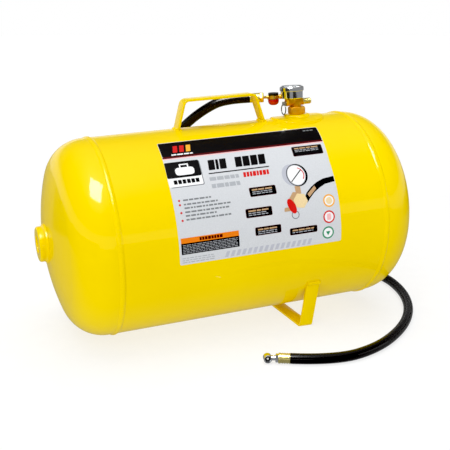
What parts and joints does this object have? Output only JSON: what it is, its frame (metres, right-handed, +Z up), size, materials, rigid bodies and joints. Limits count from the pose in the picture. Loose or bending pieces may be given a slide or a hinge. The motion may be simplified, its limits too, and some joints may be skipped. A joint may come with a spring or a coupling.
{
  "type": "air receiver tank",
  "caption": "Portable yellow carry tank for compressed air: welded shell with dished heads, bent strap handle and foot, brass manifold with gauge, shut-off valve and rubber hose.",
  "frame": {"origin": "on the floor, under the middle of the tank's box without the hose and chuck", "axes": "+X towards the end with the valves and gauge, +Z up, -Y towards the side with the label"},
  "size_m": [0.5208, 0.4001, 0.299],
  "materials": {
    "yellow_enamel": "gloss",
    "printed_label": "gloss",
    "brass": "satin",
    "pale_brass": "satin",
    "zinc_steel": "satin",
    "dark_steel": "satin",
    "chrome": "polished",
    "gauge_face": "satin",
    "pointer": "satin",
    "gauge_glass": "polished",
    "black_plastic": "satin",
    "red_plastic": "gloss",
    "seal_rubber": "matte",
    "chuck_pin_plastic": "satin",
    "hose_rubber": "gloss"
  },
  "bodies": {
    "tank": {"air_hose": "hose_rubber", "bourdon_tube": "brass", "chuck_ferrule": "pale_brass", "chuck_head": "chrome", "chuck_seal": "seal_rubber", "chuck_stem": "chrome", "end_boss": "yellow_enamel", "end_boss_weld": "yellow_enamel", "end_plug": "zinc_steel", "fill_valve_body": "pale_brass", "fill_valve_core": "pale_brass", "foot_bracket": "yellow_enamel", "foot_welds": "yellow_enamel", "gauge_bezel": "chrome", "gauge_case": "chrome", "gauge_dial": "gauge_face", "gauge_lens": "gauge_glass", "gauge_movement": "brass", "gauge_stem": "brass", "handle": "yellow_enamel", "handle_welds": "yellow_enamel", "hose_ferrule": "pale_brass", "hose_fitting": "brass", "label": "printed_label", "left_girth_weld": "yellow_enamel", "left_head": "yellow_enamel", "manifold_body": "brass", "pad_weld": "yellow_enamel", "port_boss": "yellow_enamel", "port_bushing": "brass", "port_pad": "yellow_enamel", "port_weld": "yellow_enamel", "relief_valve_body": "brass", "right_girth_weld": "yellow_enamel", "right_head": "yellow_enamel", "shell_seam_weld": "yellow_enamel", "shutoff_gland": "brass", "shutoff_valve_body": "brass", "shutoff_valve_cap": "black_plastic", "tank_shell": "yellow_enamel"},
    "needle": {"gauge_needle": "pointer"},
    "valve_disc": {"shutoff_disc": "seal_rubber"},
    "valve_knob": {"shutoff_spindle": "zinc_steel", "spindle_seal": "seal_rubber", "shutoff_knob": "red_plastic", "knob_screw": "zinc_steel"},
    "relief_stem": {"relief_stem": "zinc_steel", "relief_spring": "dark_steel"},
    "ring": {"pull_ring": "dark_steel"},
    "fill_pin": {"fill_valve_pin": "pale_brass"},
    "chuck_pin": {"chuck_pin": "chuck_pin_plastic"}
  },
  "joints": [
    {"name": "gauge_pointer_turn", "type": "hinge", "parent": "tank", "child": "needle", "pos_m": [0.09628, 0, 0.29338], "axis": [0.0506, 0, -0.9987], "range_deg": [0, 270], "stiffness_Nm_per_rad": 0.0001},
    {"name": "shutoff_disc_lift", "type": "slide", "parent": "tank", "child": "valve_disc", "axis": [0.0506, 0, -0.9987], "range_m": [0, 0.003]},
    {"name": "shutoff_knob_turn", "type": "hinge", "parent": "valve_disc", "child": "valve_knob", "pos_m": [0.08377, 0.02948, 0.28193], "axis": [0.0506, 0, -0.9987], "range_deg": [0, 1080]},
    {"name": "relief_pull", "type": "slide", "parent": "tank", "child": "relief_stem", "axis": [-0.9987, 0, -0.0506], "range_m": [0, 0.0015], "stiffness_N_per_m": 600, "springref_m": -0.002},
    {"name": "ring_swing", "type": "hinge", "parent": "relief_stem", "child": "ring", "pos_m": [0.08538, 0, 0.27521], "axis": [0, 1, 0], "range_deg": [-10, 95]},
    {"name": "fill_pin_push", "type": "slide", "parent": "tank", "child": "fill_pin", "axis": [-0.9987, 0, -0.0506], "range_m": [0, 0.0015], "stiffness_N_per_m": 200, "springref_m": -0.001},
    {"name": "chuck_pin_push", "type": "slide", "parent": "tank", "child": "chuck_pin", "axis": [0.2599, 0.9656, 0], "range_m": [0, 0.0015], "stiffness_N_per_m": 200, "springref_m": -0.001}
  ],
  "couplings": [
    {"joint": "shutoff_knob_turn", "follows": "shutoff_disc_lift", "rad_per_m": 6283.2}
  ]
}
